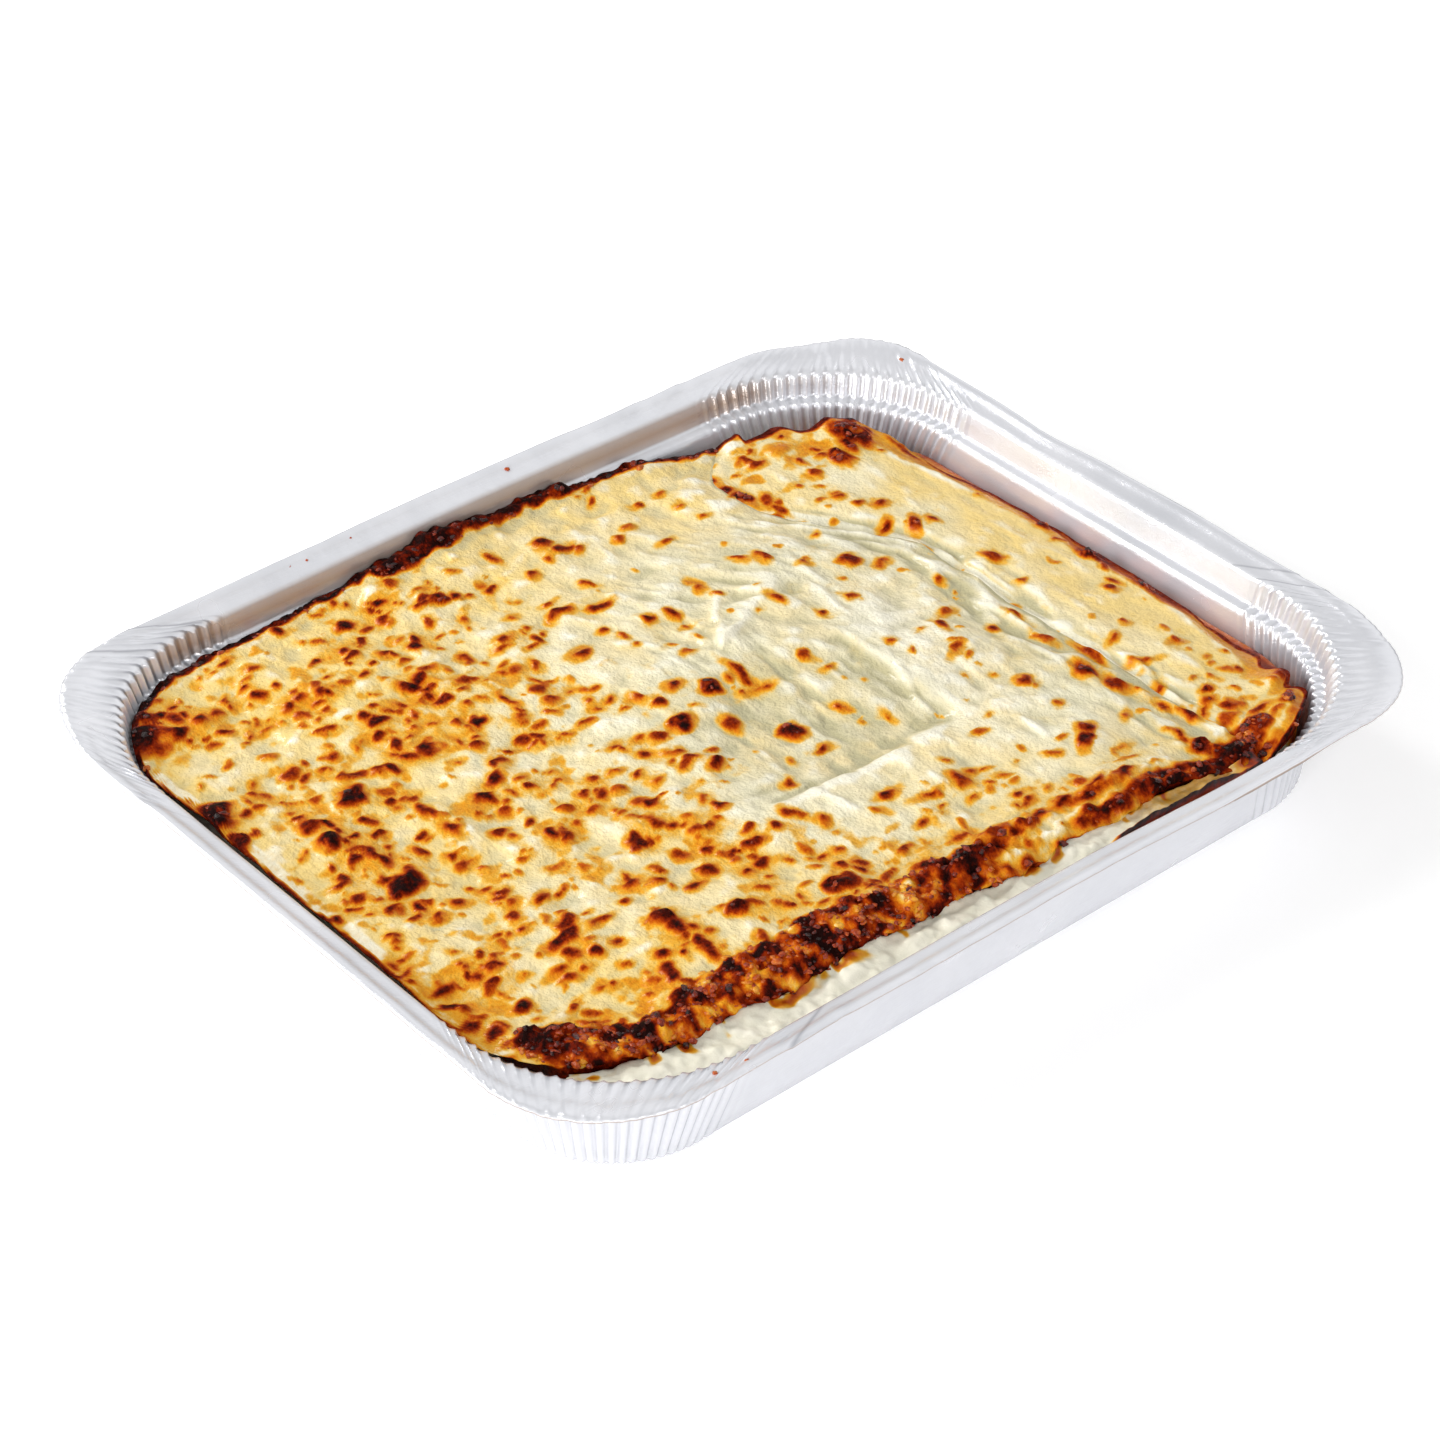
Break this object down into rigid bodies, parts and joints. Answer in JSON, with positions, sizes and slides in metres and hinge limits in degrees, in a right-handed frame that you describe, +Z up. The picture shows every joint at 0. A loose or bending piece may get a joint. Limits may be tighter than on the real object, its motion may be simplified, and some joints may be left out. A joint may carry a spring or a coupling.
{
  "type": "foil tray meal",
  "caption": "Baked layered pasta with a browned white sauce top, in a rectangular pressed foil tray with pleated corners and a flat rim.",
  "frame": {"origin": "middle of the tray's outline, on the surface it stands on", "axes": "+X along the tray's long side, +Y along its short side, +Z up out of its mouth"},
  "size_m": [0.323, 0.2658, 0.04],
  "materials": {
    "foil": "bright rolled foil, lightly creased",
    "white_sauce": "set white sauce, satin",
    "browned_top": "baked cheese sauce over pasta, blistered brown, greasy sheen"
  },
  "bodies": {
    "root": {"foil_tray": "foil", "sauce_bed": "white_sauce", "main_sheet": "browned_top", "side_sheet": "browned_top"}
  },
  "joints": []
}
